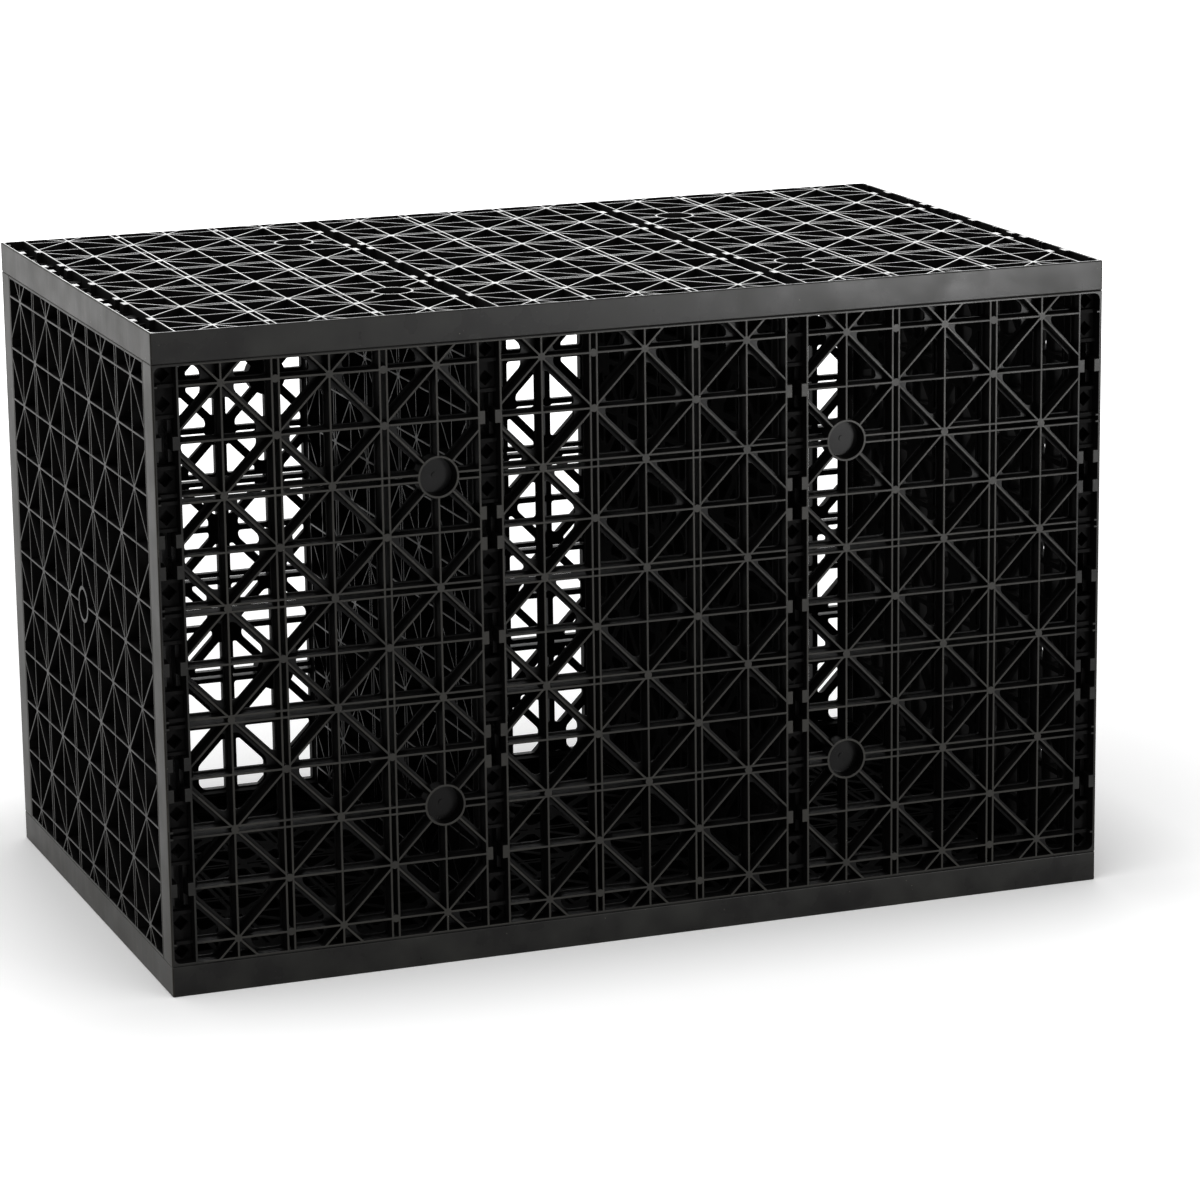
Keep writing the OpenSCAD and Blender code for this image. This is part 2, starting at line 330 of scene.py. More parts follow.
class Plan:
    """What one quarter of a plate is at each point, seen from outside"""

    def __init__(self, size, rib_h, column_lines, row_lines, lattice, sockets):
        self.half_x, self.half_y, self.depth = size
        self.lattice, self.sockets = lattice, sockets
        self.web_top, self.web_back = -rib_h, -rib_h - lattice.web_t
        self.rim_x, self.rim_y = self.half_x - lattice.rim_t, self.half_y - lattice.rim_t
        self.slit = (lattice.pair_pitch - lattice.rib_t) / 2
        self.columns = [self.line(*entry) for entry in column_lines]
        self.rows = [self.line(*entry) for entry in row_lines]

    def line(self, centre, kind):
        lattice, sockets = self.lattice, self.sockets
        if kind == "rim column":
            return Line(centre, self.rim_x, self.half_x, kind)
        if kind == "rim row":
            return Line(centre, self.rim_y, self.half_y, kind)
        half = {
            "single": lattice.rib_t / 2,
            "double": (lattice.pair_pitch + lattice.rib_t) / 2,
            "slot": sockets.slot_half + lattice.rib_t / 2,
        }[kind]
        return Line(centre, centre - half, centre + half, kind)

    def slots(self):
        """The slot lines, each with where its strip begins and ends between its walls."""
        inner = self.sockets.slot_half - self.lattice.rib_t / 2
        for line in self.columns:
            if line.kind == "slot":
                last = line is self.columns[-1]
                yield line, line.centre - inner, self.rim_x if last else line.centre + inner

    def cells(self):
        """Column, row and clear rectangle of each cell between the lattice lines."""
        for column in range(len(self.columns) - 1):
            for row in range(len(self.rows) - 1):
                left, right = self.columns[column], self.columns[column + 1]
                low, high = self.rows[row], self.rows[row + 1]
                yield column, row, (left.high, right.low, low.high, high.low)

    def cell_at(self, x, y):
        column = next((n for n, a in enumerate(self.columns) if a.low > x), 0) - 1
        row = next((n for n, a in enumerate(self.rows) if a.low > y), 0) - 1
        if column < 0 or row < 0 or x < self.columns[column].high or y < self.rows[row].high:
            return None
        return column, row

    def beside_lines(self, column, row, x, y):
        """How far a point of a cell lies from the nearest of the lines about it."""
        left, right = self.columns[column], self.columns[column + 1]
        low, high = self.rows[row], self.rows[row + 1]
        return min(x - left.high, right.low - x, y - low.high, high.low - y)

    def diagonal(self, column, row):
        """The stars that the diagonal of a cell joins, the left one first."""
        left, right = self.columns[column].centre, self.columns[column + 1].centre
        low, high = self.rows[row].centre, self.rows[row + 1].centre
        if (column + row) % 2:
            return Vector((left, low)), Vector((right, high))
        return Vector((left, high)), Vector((right, low))

    def off_diagonal(self, column, row, x, y):
        """Distance of a point from the diagonal of its cell, above it positive."""
        star, far = self.diagonal(column, row)
        along = (far - star).normalized()
        return along.x * (y - star.y) - along.y * (x - star.x)

    def tips(self, column, row, above):
        """The star at the sharp tip of an opening along its row, and the one along its column."""
        left, right = self.diagonal(column, row)
        return (left, right) if (right.y > left.y) != above else (right, left)

    def web_or_hole(self, column, row, x, y):
        lattice = self.lattice
        off = self.off_diagonal(column, row, x, y)
        if abs(off) < lattice.rib_t / 2:
            return "rib"
        row_tip, column_tip = self.tips(column, row, off > 0)
        solid = (
            self.beside_lines(column, row, x, y) < lattice.flange
            or abs(off) < lattice.rib_t / 2 + lattice.diagonal_flange
            or abs(x - row_tip.x) < lattice.tip_cut
            or abs(y - column_tip.y) < lattice.tip_cut
        )
        return "web" if solid else "hole"

    def cup(self):
        """Place of the gate cup."""
        return self.columns[CUP_COLUMN].centre, self.rows[CUP_ROW].centre

    def bosses(self):
        """Places of the round bosses: on stars, and on a large plate's last double crossings."""
        for column, across in enumerate(self.columns):
            if across.kind not in ("single", "double"):
                continue
            for row, up in enumerate(self.rows[:-1]):
                last = self.is_large() and row == LAST_ROW and across.kind == "double"
                place = across.centre, up.centre
                if ((column + row) % 2 or last) and not (self.is_large() and place == self.cup()):
                    yield place

    def is_large(self):
        return self.columns[-1].kind == "slot"

    def in_strip(self, begin, end, x, y):
        """What stands in a slot strip."""
        sockets, lattice = self.sockets, self.lattice
        from_wall = min(x - begin, end - x)
        for number, row in enumerate(self.rows[:-1]):
            off = abs(y - row.centre)
            if number % 2 == 0:
                tab = abs(off - tab_shift(number, sockets)) < sockets.tab_len / 2
                if from_wall < sockets.tab_reach and tab:
                    return "rib"
                if off < sockets.slot_len / 2:
                    return "slot"
                if off < sockets.slot_len / 2 + lattice.rib_t:
                    return "ridge"
            elif row.low < y < row.high:
                if row.kind == "double" and off < self.slit:
                    return "web"
                beside_rim = same(end, self.rim_x) and end - x < sockets.nub
                return "rib" if beside_rim else "low rib"
        for middle in self.diamonds():
            if abs(x - (begin + end) / 2) + abs(y - middle) < sockets.diamond / 2:
                return "diamond"
        return "web"

    def diamonds(self):
        """Middles of the pads of a strip, each of which has a diamond hole."""
        pair = (self.lattice.pair_pitch + self.lattice.rib_t) / 2
        reach = (self.sockets.slot_len / 2 + self.lattice.row_pitch - pair) / 2
        for row in self.rows[:-2:2]:
            if row.centre > reach:
                yield row.centre - reach
            yield row.centre + reach
        yield (self.rows[-2].high + self.rim_y) / 2

    def kind(self, x, y):
        """What the plate is at a point of its plan."""
        if x > self.rim_x or y > self.rim_y:
            return "rim"
        for line, begin, end in self.slots():
            if begin < x < end:
                return self.in_strip(begin, end, x, y)
            if line.low < x < line.high:
                return "wall"
        across = next((line for line in self.columns if line.low < x < line.high), None)
        up = next((line for line in self.rows if line.low < y < line.high), None)
        if across is None and up is None:
            return self.web_or_hole(*self.cell_at(x, y), x, y)
        open_x = across is None or (across.kind == "double" and abs(x - across.centre) < self.slit)
        open_y = up is None or (up.kind == "double" and abs(y - up.centre) < self.slit)
        return "slit" if open_x and open_y else "rib"

    def test(self, *kinds):
        """A test for faces whose middle is one of kinds."""
        return lambda face: self.kind(*spot(face)) in kinds


def tab_shift(row, sockets):
    """How far the stop tabs on a row lie from its centre: every second slot has two pairs."""
    return sockets.tab_pitch / 2 if row % 4 == 2 else 0.0


def large_plan(lattice, sockets):
    columns, rows = [], []
    for number in range(LAST_COLUMN + 1):
        kind = "slot" if number % 6 == FIRST_SLOT else "double" if number % 2 else "single"
        columns.append((number * lattice.col_pitch, kind))
    for number in range(LAST_ROW + 1):
        kind = "double" if number % 2 and number < LAST_ROW else "single"
        rows.append((number * lattice.row_pitch, kind))
    rows.append(((LAST_ROW + 1) * lattice.row_pitch, "rim row"))
    size = (PLATE_SIZE.x / 2, PLATE_SIZE.y / 2, PLATE_SIZE.z)
    return Plan(size, lattice.rib_h, columns, rows, lattice, sockets)


def cross_plan(lattice, sockets):
    columns, rows = [], []
    for number in range(LAST_ROW + 1):
        kind = "rim column" if number == LAST_ROW else "double" if number % 2 else "single"
        columns.append((number * lattice.row_pitch, kind))
        rows.append((number * lattice.row_pitch, "single"))
    rows.append(((LAST_ROW + 1) * lattice.row_pitch, "rim row"))
    size = (CRATE_SIZE.y / 2 - PLATE_SIZE.z, CRATE_SIZE.z / 2 - PLATE_SIZE.z, CROSS_T)
    return Plan(size, lattice.cross_rib_h, columns, rows, lattice, sockets)


# Modelling one quarter of a plate


def score_lines(plan):
    """Cuts the sheet along both sides of every column and row."""
    xs, ys = [plan.rim_x], [plan.rim_y]
    for lines, cuts in ((plan.columns, xs), (plan.rows, ys)):
        for line in lines:
            cuts += [line.low, line.high]
            if line.kind == "double":
                cuts += [line.centre - plan.slit, line.centre + plan.slit]
    for line, begin, end in plan.slots():
        xs += [begin, end]
    for axis, cuts, limit in ((0, xs, plan.half_x), (1, ys, plan.half_y)):
        for cut in sorted(set(cuts)):
            if NEAR < cut < limit - NEAR:
                score_across(lambda face: True, axis, cut)


def score_diagonal(plan, column, row, test, reach):
    """Cuts the faces that pass test at a distance from the diagonal of a cell, on both sides."""
    star, far = plan.diagonal(column, row)
    along = (far - star).normalized()
    across = Vector((-along.y, along.x))
    for side in (-1, 1):
        point = star + side * reach * across
        score(test, (*point, 0), (*across, 0))


def score_tips(plan, column, row, rectangle):
    """Cuts the web short of the sharp tips of both openings of a cell."""
    reach = plan.lattice.tip_cut
    for above in (False, True):

        def on_side(face):
            off = plan.off_diagonal(column, row, *spot(face))
            return abs(off) > plan.lattice.rib_t / 2 and (off > 0) == above

        test = both(inside(*rectangle), on_side)
        row_tip, column_tip = plan.tips(column, row, above)
        for axis, tip in ((0, row_tip.x), (1, column_tip.y)):
            for cut in (tip - reach, tip + reach):
                if rectangle[2 * axis] < cut < rectangle[2 * axis + 1]:
                    score_across(test, axis, cut)


def score_cells(plan):
    """Cuts every cell into its diagonal rib, the flanges beside it, and its two openings."""
    lattice = plan.lattice
    for column, row, rectangle in plan.cells():
        score_diagonal(plan, column, row, inside(*rectangle), lattice.rib_t / 2)

    def in_opening(face):
        x, y = spot(face)
        cell = plan.cell_at(x, y)
        if cell is None or plan.kind(x, y) not in ("web", "hole"):
            return False
        return abs(plan.off_diagonal(*cell, x, y)) > lattice.rib_t / 2

    for axis, lines in ((0, plan.columns), (1, plan.rows)):
        for before, after in zip(lines, lines[1:]):

            def in_band(face):
                return before.high < spot(face)[axis] < after.low

            for cut in (before.high + lattice.flange, after.low - lattice.flange):
                score_across(both(in_band, in_opening), axis, cut)
    margin = 0.9 * lattice.flange
    for column, row, (left, right, low, high) in plan.cells():
        clear = (left + margin, right - margin, low + margin, high - margin)
        reach = lattice.rib_t / 2 + lattice.diagonal_flange
        score_diagonal(plan, column, row, both(inside(*clear), in_opening), reach)
        score_tips(plan, column, row, clear)


def score_strips(plan):
    """Cuts the slot strips along their slots, ridges, tabs, nubs and diamonds."""
    lattice, sockets = plan.lattice, plan.sockets
    half = sockets.slot_len / 2
    for line, begin, end in plan.slots():
        strip = inside(begin, end, 0, plan.rim_y)
        for number, row in enumerate(plan.rows[:-1]):
            if number % 2 == 0:
                shift = tab_shift(number, sockets)
                cuts = [half, half + lattice.rib_t]
                cuts += [shift + sockets.tab_len / 2, shift - sockets.tab_len / 2]
                for y in [row.centre + side * cut for cut in cuts for side in (-1, 1)]:
                    if NEAR < y < plan.rim_y:
                        score_across(strip, 1, y)
                slot = inside(begin, end, row.centre - half, row.centre + half)
                for x in (begin + sockets.tab_reach, end - sockets.tab_reach):
                    score_across(slot, 0, x)
            elif same(end, plan.rim_x):
                rib = inside(begin, end, row.low, row.high)
                score_across(rib, 0, end - sockets.nub)
        for middle in plan.diamonds():
            reach = sockets.diamond / 2
            pad = inside(begin, end, middle - reach, middle + reach)
            for across in ((1, 1), (1, -1)):
                for side in (-1, 1):
                    point = ((begin + end) / 2 + side * reach, middle, 0)
                    score(pad, point, (*across, 0))


def facing(up, height):
    """A test for level faces at a height that face up or down."""
    return lambda face: up * face.normal.z > SQUARE and same(face.calc_center_median().z, height)


def raise_ribs(plan):
    """Thickens the sheet to the web, and raises ridges, strip ribs, ribs and rim in steps."""
    lattice, sockets = plan.lattice, plan.sockets
    extrude(lambda face: True, (0, 0, -lattice.web_t))
    bpy.ops.mesh.select_all(action="SELECT")
    bpy.ops.mesh.normals_make_consistent(inside=False)
    web_top, tall = plan.web_top, ("rib", "rim", "wall")
    steps = [(0.0, tall)]
    if plan.is_large():
        steps = [
            (web_top + sockets.ridge_h, (*tall, "low rib", "ridge")),
            (-sockets.strip_drop, (*tall, "low rib")),
            (0.0, tall),
        ]
    height = web_top
    for top, kinds in steps:
        extrude(both(facing(1, height), plan.test(*kinds)), (0, 0, top - height))
        height = top
    deep = both(facing(-1, plan.web_back), plan.test("rim", "wall"))
    extrude(deep, (0, 0, -plan.depth - plan.web_back))
    step_heights = [top for top, kinds in steps[:-1]]

    def on_step(edge):
        return any(lies_at(edge, 2, height) for height in step_heights)

    if step_heights:
        dissolve(both(on_step, in_one_flat))


def is_upright(edge):
    a, b = (vertex.co for vertex in edge.verts)
    return same(a.x, b.x) and same(a.y, b.y)


def round_corners(plan):
    """Rounds the corners of the openings in the web and the corners inside the rim."""
    lattice = plan.lattice

    def shortest_side(edge):
        top = max(edge.verts, key=lambda vertex: vertex.co.z)
        sides = [
            other.calc_length()
            for other in top.link_edges
            if other is not edge and any(abs(face.normal.z) < ALONG for face in other.link_faces)
        ]
        return min(sides)

    def at_hole(edge):
        if not is_upright(edge) or len(edge.link_faces) != 2 or in_one_flat(edge):
            return False
        low, high = sorted(vertex.co.z for vertex in edge.verts)
        if not (same(low, plan.web_back) and same(high, plan.web_top)):
            return False
        point = edge.verts[0].co.xy
        cell = plan.cell_at(*point)
        return cell is not None and plan.beside_lines(*cell, *point) > lattice.flange / 2

    # A side of an opening with no room for two wide roundings gets narrow ones
    wide = lattice.hole_round
    narrow, roomy = 0.4 * wide, 2.1 * wide
    bevel(lambda edge: at_hole(edge) and shortest_side(edge) > roomy, wide, 3)
    if choose(lambda edge: at_hole(edge) and shortest_side(edge) > wide, edges=True):
        bpy.ops.mesh.bevel(offset=narrow, segments=2, profile=0.5, loop_slide=False)
    if plan.is_large():

        def at_corner(vertex):
            return same(vertex.co.x, plan.rim_x) and same(vertex.co.y, plan.rim_y)

        def across_rim(edge):
            beyond = any(
                v.co.x > plan.rim_x + NEAR or v.co.y > plan.rim_y + NEAR for v in edge.verts
            )
            return beyond and any(at_corner(v) for v in edge.verts)

        dissolve(across_rim)
        bevel(lambda edge: all(at_corner(v) for v in edge.verts), lattice.corner_r, 5)


def between_top_and_wall(edge):
    """True for an edge between a level face and an upright one."""
    if len(edge.link_faces) != 2:
        return False
    first, second = sorted(abs(face.normal.z) for face in edge.link_faces)
    return first < ALONG and second > SQUARE


def lean_of(vertex, draft):
    """How far a corner of a crest moves in, so that each wall below it leans by draft."""
    walls = []
    for face in vertex.link_faces:
        upright = abs(face.normal.z) < ALONG and not on_middle(face)
        if upright and all(face.normal.dot(wall) < FLAT for wall in walls):
            walls.append(face.normal.copy())
    if len(walls) == 1:
        return -draft * walls[0].x, -draft * walls[0].y
    if len(walls) != 2:
        return 0.0, 0.0
    (a, b), (c, d) = ((wall.x, wall.y) for wall in walls)
    turn = a * d - b * c
    return -draft * (d - b) / turn, -draft * (a - c) / turn


def lean_walls(plan):
    """Leans the walls of the ribs in towards the outer face, so the crests are thin."""
    mesh = bmesh.from_edit_mesh(bpy.context.edit_object.data)
    moves = {}
    for vertex in mesh.verts:
        on_rim = same(vertex.co.x, plan.half_x) or same(vertex.co.y, plan.half_y)
        if same(vertex.co.z, 0) and not on_rim:
            move = tuple(round(part, 7) for part in lean_of(vertex, plan.lattice.draft))
            if any(move):
                moves.setdefault(move, []).append(vertex.index)
    bpy.context.tool_settings.mesh_select_mode = (True, False, False)
    for move, indices in moves.items():
        bpy.ops.mesh.select_all(action="DESELECT")
        mesh = bmesh.from_edit_mesh(bpy.context.edit_object.data)
        mesh.verts.ensure_lookup_table()
        for index in indices:
            mesh.verts[index].select = True
        mesh.select_flush_mode()
        bpy.ops.transform.translate(value=(*move, 0))


def soften_edges(plan):
    """Bevels the outer edges of ribs, walls and cup, and rounds the edges of the rim."""

    def on_outside(edge):
        return lies_at(edge, 0, plan.half_x), lies_at(edge, 1, plan.half_y)

    def rim_edge(edge):
        on_x, on_y = on_outside(edge)
        is_end = lies_at(edge, 2, 0) or lies_at(edge, 2, -plan.depth)
        return (on_x and on_y) or ((on_x or on_y) and is_end and between_top_and_wall(edge))

    def rib_edge(edge):
        return lies_at(edge, 2, 0) and not any(on_outside(edge)) and between_top_and_wall(edge)

    bevel(rib_edge, plan.lattice.rib_edge, 1)
    bevel(rim_edge, plan.lattice.rim_edge, 3)


def model_quarter(name, plan):
    """One quarter of a plate, with its outer face up at z = 0."""
    bpy.ops.mesh.primitive_plane_add(size=1.0, location=(0, 0, 0))
    piece = bpy.context.active_object
    piece.name = name
    start_editing(piece)
    bpy.ops.mesh.select_all(action="SELECT")
    bpy.ops.transform.resize(value=(plan.half_x, plan.half_y, 1), center_override=(0, 0, 0))
    middle = (plan.half_x / 2, plan.half_y / 2, plan.web_top)
    bpy.ops.transform.translate(value=middle)
    score_lines(plan)
    score_cells(plan)
    score_strips(plan)
    need(plan.test("slit", "hole", "slot", "diamond"))
    bpy.ops.mesh.delete(type="FACE")
    raise_ribs(plan)
    round_corners(plan)
    lean_walls(plan)
    stop_editing()
    return piece


def add_cylinder(name, radius, low, high, place, steps):
    middle = (*place, (low + high) / 2)
    bpy.ops.mesh.primitive_cylinder_add(
        vertices=steps, radius=radius, depth=high - low, location=middle
    )
    cylinder = bpy.context.active_object
    cylinder.name = name
    bpy.ops.object.transform_apply(location=True, rotation=True, scale=True)
    return cylinder


def modify(piece, kind, **settings):
    """Adds a modifier with its settings to a piece, and applies it."""
    select_alone(piece)
    bpy.ops.object.modifier_add(type=kind)
    modifier = piece.modifiers[-1]
    for name, value in settings.items():
        setattr(modifier, name, value)
    bpy.ops.object.modifier_apply(modifier=modifier.name)


def combine(piece, other, operation):
    """Cuts other out of piece, or joins it to piece, and removes other."""
    faces_before = len(piece.data.polygons)
    modify(piece, "BOOLEAN", operation=operation, object=other, solver="MANIFOLD")
    if len(piece.data.polygons) == faces_before:
        raise RuntimeError(other.name + " was not combined")
    bpy.data.meshes.remove(other.data)


def add_gate_cup(piece, plan, steps):
    """Sets a round cup with a gate mark on its floor into the lattice."""
    place = plan.cup()
    sockets, beyond = plan.sockets, plan.lattice.web_t
    radius, back = sockets.cup_d / 2, plan.web_back
    hollow_r = radius - CUP_OVERLAP
    hollow = add_cylinder("hollow", hollow_r, back - beyond, beyond, place, steps)
    combine(piece, hollow, "DIFFERENCE")
    cup = add_cylinder("cup", radius, back, 0, place, steps)
    start_editing(cup)
    need(facing(1, 0))
    bpy.ops.mesh.inset(thickness=sockets.cup_wall)
    push((0, 0, plan.web_top))
    floor_r = radius - sockets.cup_wall - sockets.cup_slope
    shrink = floor_r / (radius - sockets.cup_wall)
    bpy.ops.transform.resize(value=(shrink, shrink, 1), center_override=(*place, plan.web_top))
    bpy.ops.mesh.inset(thickness=floor_r - sockets.gate_d / 2)
    push((0, 0, sockets.gate_h))
    stop_editing()
    combine(piece, cup, "UNION")
    start_editing(piece)
    need(lambda face: (spot(face) - Vector(place)).length < sockets.cup_d)
    bpy.ops.mesh.dissolve_degenerate(threshold=2 * NEAR)
    stop_editing()


def mirror_quarter(piece):
    """Makes the whole plate of its quarter, with no seam left in its flat faces."""
    modify(piece, "MIRROR", use_axis=(True, True, False), merge_threshold=NEAR)
    start_editing(piece)
    dissolve(both(on_middle, in_one_flat))
    stop_editing()


def add_bosses(piece, plan):
    """Joins a round boss to the ribs at each star of the whole plate.

    They are turned by half a side, so that none has a corner on a middle line of the plate.
    """
    quarter = plan.bosses()
    places = {(right * x, up * y) for x, y in quarter for right in (-1, 1) for up in (-1, 1)}
    radius, back = plan.lattice.boss_d / 2, plan.web_back
    bosses = add_cylinder("bosses", radius, back, 0, (0, 0), BOSS_SIDES)
    start_editing(bosses)
    bpy.ops.mesh.select_all(action="SELECT")
    bpy.ops.mesh.delete(type="VERT")
    for place in sorted(places):
        bpy.ops.mesh.primitive_cylinder_add(
            vertices=BOSS_SIDES,
            radius=radius,
            depth=-back,
            location=(*place, back / 2),
            rotation=(0, 0, pi / BOSS_SIDES),
        )
    stop_editing()
    combine(piece, bosses, "UNION")


def complete_plate(piece, plan):
    """Makes the whole plate of a quarter, with soft edges and the round bosses on its stars.

    The quarter's walls on the middle lines go first, because the other quarters join there.
    """
    start_editing(piece)
    need(on_middle)
    bpy.ops.mesh.delete(type="FACE")
    soften_edges(plan)
    stop_editing()
    mirror_quarter(piece)
    add_bosses(piece, plan)


def finish_surface(piece, plan, finish):
    """Shades the roundings smooth and the flats flat, and gives the plate its three finishes."""
    select_alone(piece)
    bpy.ops.object.shade_smooth_by_angle(angle=radians(35))
    modify(piece, "WEIGHTED_NORMAL", keep_sharp=True)
    piece.data.materials.clear()
    for make in (moulded_material, rubbed_and_highlit_material, satin_material):
        piece.data.materials.append(make(finish))
    skin = plan.lattice.rim_edge + NEAR
    in_wall = plan.sockets.cup_d / 2 - plan.sockets.cup_wall + NEAR

    def is_outside(face):
        return (
            all(v.co.z > -skin for v in face.verts)
            or all(abs(v.co.x) > plan.half_x - skin for v in face.verts)
            or all(abs(v.co.y) > plan.half_y - skin for v in face.verts)
        )

    def is_web(face):
        in_cell = plan.cell_at(*map(abs, spot(face))) is not None
        return in_cell and facing(1, plan.web_top)(face)

    def in_cup(face):
        return all(
            v.co.z > plan.web_top - NEAR
            and (Vector(map(abs, v.co.xy)) - Vector(plan.cup())).length < in_wall
            for v in face.verts
        )

    finishes = [(RUBBED_AND_HIGHLIT, is_outside), (SATIN, is_web)]
    if plan.is_large():
        finishes.append((SATIN, in_cup))
    start_editing(piece)
    for slot, test in finishes:
        need(test)
        piece.active_material_index = slot
        bpy.ops.object.material_slot_assign()
    stop_editing()


def grow_fingers(plan):
    """Extrudes the pairs of snap fingers from the outer walls of a cross plate's rim."""
    sockets = plan.sockets
    half = sockets.finger_w / 2
    outer = sockets.finger_span / 2
    cuts = (outer, outer - sockets.finger_t)
    heights = [side * cut - plan.depth / 2 for side in (-1, 1) for cut in cuts]
    bands = (sorted(heights)[:2], sorted(heights)[2:])
    places = [row.centre for number, row in enumerate(plan.rows[:-1]) if number % 2 == 0]
    for axis, limit in ((0, plan.half_x), (1, plan.half_y)):
        along = 1 - axis

        def on_side(face):
            return face.normal[axis] > SQUARE and lies_at(face, axis, limit)

        for height in heights:
            score_across(on_side, 2, height)
        for place in places:
            for cut in (place - half, place + half):
                if NEAR < cut:
                    score_across(on_side, along, cut)

        def is_finger(face):
            middle = face.calc_center_median()
            return (
                on_side(face)
                and any(low < middle.z < high for low, high in bands)
                and any(abs(middle[along] - place) < half for place in places)
            )

        move = [0, 0, 0]
        move[axis] = sockets.finger_len
        extrude(is_finger, move)


def placed(place, *turns):
    """The matrix of a place and of turns there, each an angle and the axis that it is about."""
    matrix = Matrix.Translation(place)
    for angle, axis in turns:
        matrix = matrix @ Matrix.Rotation(angle, 4, axis)
    return matrix


def place_copies(master, places):
    """Copies the master plate to each node, in place in its mesh, and removes the master."""
    for node, matrix in places.items():
        select_alone(master)
        bpy.ops.object.duplicate(linked=False)
        piece = bpy.context.active_object
        piece.name = "moulded_" + node
        piece.matrix_world = matrix
        bpy.ops.object.transform_apply(location=True, rotation=True, scale=True)
        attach(piece, "root")
        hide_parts(node)
    bpy.data.meshes.remove(master.data)


def build_large_plates(scene):
    plan = large_plan(scene.crate_lattice, scene.crate_sockets)
    plate = model_quarter("large_plate", plan)
    add_gate_cup(plate, plan, scene.crate_finish.circle_steps)
    complete_plate(plate, plan)
    finish_surface(plate, plan, scene.crate_finish)
    height, half_width = CRATE_SIZE.z, CRATE_SIZE.y / 2
    middle = height / 2
    places = {
        "top_plate": placed((0, 0, height)),
        "bottom_plate": placed(ORIGIN, (pi, "X")),
        "front_plate": placed((0, -half_width, middle), (pi / 2, "X")),
        "back_plate": placed((0, half_width, middle), (-pi / 2, "X")),
    }
    place_copies(plate, places)


def build_cross_plates(scene):
    sockets = scene.crate_sockets
    plan = cross_plan(scene.crate_lattice, sockets)
    plate = model_quarter("cross_plate", plan)
    start_editing(plate)
    grow_fingers(plan)
    stop_editing()
    complete_plate(plate, plan)
    steps = scene.crate_finish.circle_steps
    radius = sockets.ring_d / 2
    combine(plate, add_cylinder("ring", radius, plan.web_back, 0, (0, 0), steps), "UNION")
    low = plan.web_back - MM
    bore = add_cylinder("bore", radius - sockets.ring_wall, low, MM, (0, 0), steps)
    combine(plate, bore, "DIFFERENCE")
    finish_surface(plate, plan, scene.crate_finish)
    places = {}
    for node, side, turn in (
        ("left_end_plate", 0, -pi / 2),
        ("left_inner_plate", 0, -pi / 2),
        ("right_inner_plate", 1, pi / 2),
        ("right_end_plate", 1, pi / 2),
    ):
        middle = (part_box(node)[side].x, 0, CRATE_SIZE.z / 2)
        places[node] = placed(middle, (turn, "Z"), (pi / 2, "X"))
    place_copies(plate, places)


# Materials


def linear(hex_colour):
    """Linear colour of an sRGB hex value."""
    parts = [int(hex_colour[n : n + 2], 16) / 255 for n in (1, 3, 5)]
    return [p / 12.92 if p <= 0.04045 else ((p + 0.055) / 1.055) ** 2.4 for p in parts] + [1.0]


def add_node(tree, kind, inputs=(), **settings):
    """Adds a node with its settings, and gives its inputs values or links, in order or by name."""
    made = tree.nodes.new(kind)
    for name, value in settings.items():
        setattr(made, name, value)
    for name, value in inputs.items() if isinstance(inputs, dict) else enumerate(inputs):
        if isinstance(value, bpy.types.NodeSocket):
            tree.links.new(value, made.inputs[name])
        else:
            made.inputs[name].default_value = value
    return made


def empty_tree(name):
    """A material, its emptied tree, and the place of a point in the object's own axes."""
    material = bpy.data.materials.get(name) or bpy.data.materials.new(name)
    material.use_nodes = True
    tree = material.node_tree
    tree.nodes.clear()
    return material, tree, add_node(tree, "ShaderNodeTexCoord").outputs["Object"]


def layered(tree, base, *layers):
    """A base colour with others laid over it, each as far as its mask says."""
    for mask, colour in layers:
        mix = {MIX_FACTOR: mask, MIX_BASE: base, MIX_OVER: colour}
        base = add_node(tree, "ShaderNodeMix", mix, data_type="RGBA").outputs[MIX_COLOUR]
    return base


def greatest(tree, values):
    result, *others = values
    for value in others:
        result = add_node(tree, "ShaderNodeMath", (result, value), operation="MAXIMUM").outputs[0]
    return result


def shifted(tree, place, *steps):
    """A point that has gone through vector operations, each with its second input."""
    for operation, other in steps:
        step = add_node(tree, "ShaderNodeVectorMath", (place, other), operation=operation)
        place = step.outputs[0]
    return place


def depth_below_box(tree, place):
    """How deep a point lies below each pair of sides of the crate's box, negative inside."""
    half = CRATE_SIZE / 2
    steps = ("SUBTRACT", (0, 0, half.z)), ("ABSOLUTE", ORIGIN), ("SUBTRACT", half)
    deep = shifted(tree, place, *steps)
    return list(add_node(tree, "ShaderNodeSeparateXYZ", (deep,)).outputs)


def outer_and_rim(tree, place):
    """Three masks: the outer faces of the crate, the rims of its plates, and its two ends."""
    depths = depth_below_box(tree, place)
    skin = (greatest(tree, depths), -0.9 * MM, -0.3 * MM)
    outer = add_node(tree, "ShaderNodeMapRange", skin).outputs[0]
    sides = 0.0
    for depth in depths:
        limit = (depth, -PLATE_SIZE.z - MM)
        near = add_node(tree, "ShaderNodeMath", limit, operation="GREATER_THAN").outputs[0]
        sides = add_node(tree, "ShaderNodeMath", (sides, near)).outputs[0]
    rim = add_node(tree, "ShaderNodeMath", (sides, 1.5), operation="GREATER_THAN").outputs[0]
    end = add_node(tree, "ShaderNodeMath", (depths[0], -MM), operation="GREATER_THAN").outputs[0]
    return outer, rim, end


